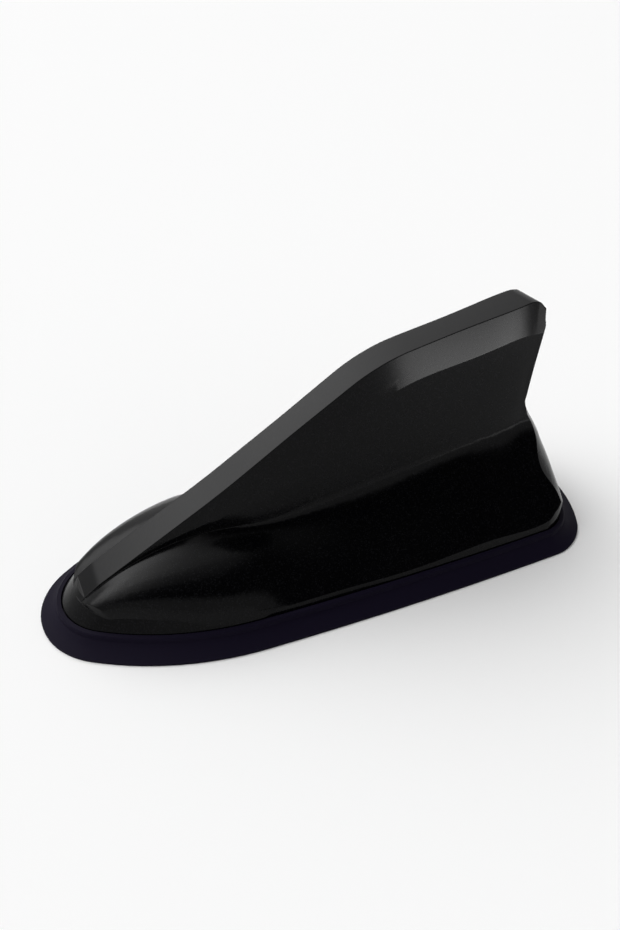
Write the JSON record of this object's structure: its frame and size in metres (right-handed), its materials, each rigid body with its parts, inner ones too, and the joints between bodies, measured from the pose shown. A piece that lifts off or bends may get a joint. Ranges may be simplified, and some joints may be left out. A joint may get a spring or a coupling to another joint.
{
  "type": "shark fin aerial",
  "caption": "Stick-on car roof aerial: a swept shark fin housing with a faceted blade on a flared rubber gasket, with a cable outlet in its base.",
  "frame": {"origin": "middle of the gasket's outline, on the roof face", "axes": "+X towards the tail, -X towards the nose, +Z away from the roof"},
  "size_m": [0.17, 0.076, 0.0665],
  "materials": {
    "housing_gloss": "gloss black moulding with fine flake",
    "gasket_rubber": "soft satin, dark violet grey",
    "adhesive_foam": "closed-cell foam tape",
    "plate_plastic": "plain moulding",
    "screw_steel": "zinc plated",
    "board_laminate": "green solder mask",
    "former_plastic": "natural nylon",
    "copper_wire": "enamelled copper",
    "tinned_sheet": "tinned",
    "damper_foam": "open foam",
    "spring_brass": "plain",
    "chip_moulding": "matt epoxy",
    "ceramic": "fired ceramic",
    "ferrite": "sintered",
    "can_aluminium": "drawn can",
    "grommet_rubber": "satin"
  },
  "bodies": {
    "root": {"fin_housing": "housing_gloss", "base_gasket": "gasket_rubber", "adhesive_pad": "adhesive_foam", "base_plate": "plate_plastic", "plate_screws": "screw_steel", "circuit_board": "board_laminate", "board_screws": "screw_steel", "coil_former": "former_plastic", "antenna_coil": "copper_wire", "top_load_plate": "tinned_sheet", "foam_damper": "damper_foam", "feed_contact": "spring_brass", "shield_can": "tinned_sheet", "amplifier_chip": "chip_moulding", "chip_capacitors": "ceramic", "chip_resistors": "chip_moulding", "choke_inductor": "ferrite", "electrolytic_capacitor": "can_aluminium", "coax_socket": "spring_brass", "cable_grommet": "grommet_rubber"}
  },
  "joints": []
}
